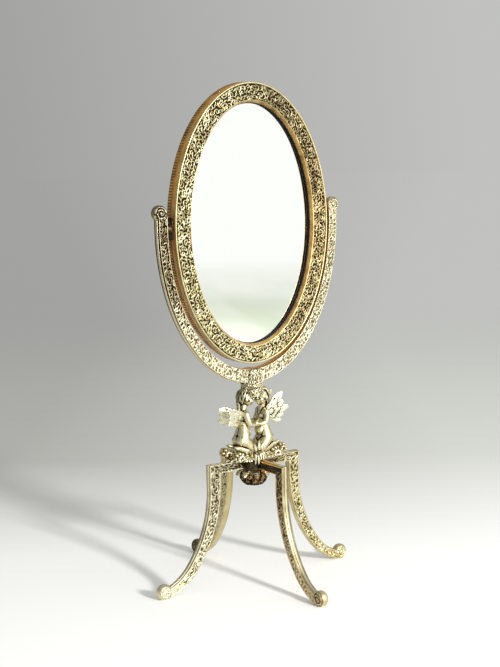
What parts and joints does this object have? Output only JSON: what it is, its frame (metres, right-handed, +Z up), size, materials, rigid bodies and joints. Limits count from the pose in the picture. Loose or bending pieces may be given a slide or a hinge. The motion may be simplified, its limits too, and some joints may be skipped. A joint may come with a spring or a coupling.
{
  "type": "tilting table mirror",
  "caption": "Oval vanity mirror that tilts in a U-shaped yoke on a stem of kneeling putti with curved scroll-footed legs, cast metal with an antiqued gold finish.",
  "frame": {"origin": "on the table surface, under the middle of the stem", "axes": "+Z up; the glass faces -Y; the tilt axis is along X"},
  "size_m": [0.1494, 0.1494, 0.3194],
  "materials": {
    "cast_gold": "antiqued gold, dark in the hollows",
    "gold_band": "polished gold, worn",
    "back_sheet": "lacquered sheet, dull",
    "mirror": "silvered glass",
    "card": "grey board",
    "steel": "turned",
    "fibre": "vulcanised fibre"
  },
  "bodies": {
    "stand": {"yoke": "cast_gold", "pivot_spacer_left": "gold_band", "pivot_spacer_right": "gold_band", "friction_washer_left": "fibre", "friction_washer_right": "fibre", "neck_collar": "cast_gold", "neck_screw": "steel", "cherub_left": "cast_gold", "cherub_right": "cast_gold", "wings_left": "cast_gold", "wings_right": "cast_gold", "figure_mound": "cast_gold", "hub": "cast_gold", "leg_left": "cast_gold", "leg_right": "cast_gold", "leg_front": "cast_gold", "leg_back": "cast_gold", "leg_screws": "steel", "pendant_boss": "cast_gold", "tie_bolt": "steel", "tie_washer": "steel", "tie_nut": "steel"},
    "mirror_head": {"front_bezel": "cast_gold", "rear_rim": "gold_band", "mirror_glass": "mirror", "backing_card": "card", "back_plate": "back_sheet", "retaining_tabs": "back_sheet", "pivot_lug_left": "cast_gold", "pivot_lug_right": "cast_gold", "pivot_pin_left": "steel", "pivot_pin_right": "steel"}
  },
  "joints": [
    {"name": "mirror_tilt", "type": "hinge", "parent": "stand", "child": "mirror_head", "pos_m": [0, 0, 0.23097], "axis": [1, 0, 0], "continuous": true}
  ]
}
